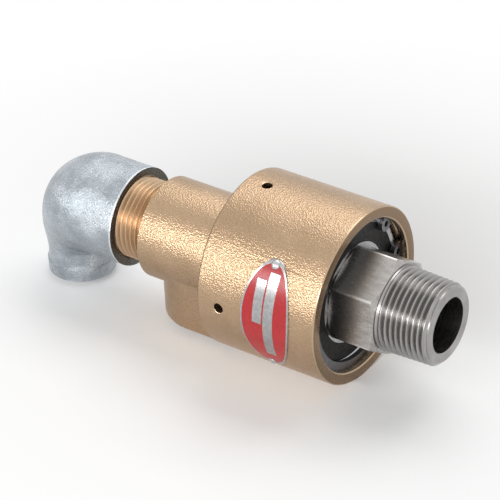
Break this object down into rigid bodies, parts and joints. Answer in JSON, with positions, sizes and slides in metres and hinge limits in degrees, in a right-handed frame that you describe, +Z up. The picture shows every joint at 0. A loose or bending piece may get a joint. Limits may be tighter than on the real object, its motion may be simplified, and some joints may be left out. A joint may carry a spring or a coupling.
{
  "type": "hydraulic rotary union",
  "caption": "Rotary union with a threaded hexagon rotor, a round bronze casing with side port, a brass nipple and a reducing iron elbow.",
  "frame": {"origin": "centre of the rotor's open threaded end", "axes": "+X along the rotor's axis, out of its open end; -Z the way the side port and the elbow outlet face; +Z up"},
  "size_m": [0.1887, 0.0719, 0.0716],
  "materials": {
    "cast_bronze": "shot-blasted cast bronze",
    "stainless": "turned and ground stainless steel",
    "bearing_steel": "ground bearing steel",
    "cage_polymer": "natural polyamide",
    "black_rubber": "black nitrile rubber",
    "spacer_steel": "plain turned steel",
    "spring_steel": "dark phosphated spring steel",
    "seat_steel": "lapped hardened steel",
    "carbon": "lapped carbon graphite",
    "machined_brass": "bright turned brass",
    "galvanised_iron": "hot-dip galvanised malleable iron",
    "plate_red": "thin metal plate, red with a silver rim"
  },
  "bodies": {
    "casing": {"body_casting": "cast_bronze", "front_bearing_outer_ring": "bearing_steel", "front_bearing_outer_shield": "black_rubber", "front_bearing_inner_shield": "black_rubber", "rear_bearing_outer_ring": "bearing_steel", "rear_bearing_front_shield": "black_rubber", "rear_bearing_rear_shield": "black_rubber", "outer_spacer": "spacer_steel", "bore_circlip": "spring_steel", "seal_spring": "spring_steel", "drive_pins": "spacer_steel", "end_nipple": "machined_brass", "elbow": "galvanised_iron", "nameplate": "plate_red", "nameplate_rivets": "spacer_steel"},
    "rotor": {"rotor": "stainless", "front_bearing_inner_ring": "bearing_steel", "rear_bearing_inner_ring": "bearing_steel", "inner_spacer": "spacer_steel", "shaft_circlip": "spring_steel", "seal_seat": "seat_steel", "seat_o_ring": "black_rubber"},
    "front_cage": {"front_bearing_balls": "bearing_steel", "front_bearing_cage": "cage_polymer"},
    "rear_cage": {"rear_bearing_balls": "bearing_steel", "rear_bearing_cage": "cage_polymer"},
    "seal": {"floating_seal_ring": "carbon", "seal_o_ring": "black_rubber"}
  },
  "joints": [
    {"name": "rotor_spin", "type": "hinge", "parent": "casing", "child": "rotor", "pos_m": [-0.03, 0, 0], "axis": [1, 0, 0], "continuous": true},
    {"name": "front_cage_spin", "type": "hinge", "parent": "casing", "child": "front_cage", "pos_m": [-0.05, 0, 0], "axis": [1, 0, 0], "continuous": true},
    {"name": "rear_cage_spin", "type": "hinge", "parent": "casing", "child": "rear_cage", "pos_m": [-0.068, 0, 0], "axis": [1, 0, 0], "continuous": true},
    {"name": "seal_float", "type": "slide", "parent": "casing", "child": "seal", "axis": [1, 0, 0], "range_m": [-0.0012, 0], "stiffness_N_per_m": 4000, "deforming": ["seal_spring"]}
  ],
  "couplings": [
    {"joint": "front_cage_spin", "follows": "rotor_spin", "ratio": 0.3965},
    {"joint": "rear_cage_spin", "follows": "rotor_spin", "ratio": 0.3965}
  ]
}
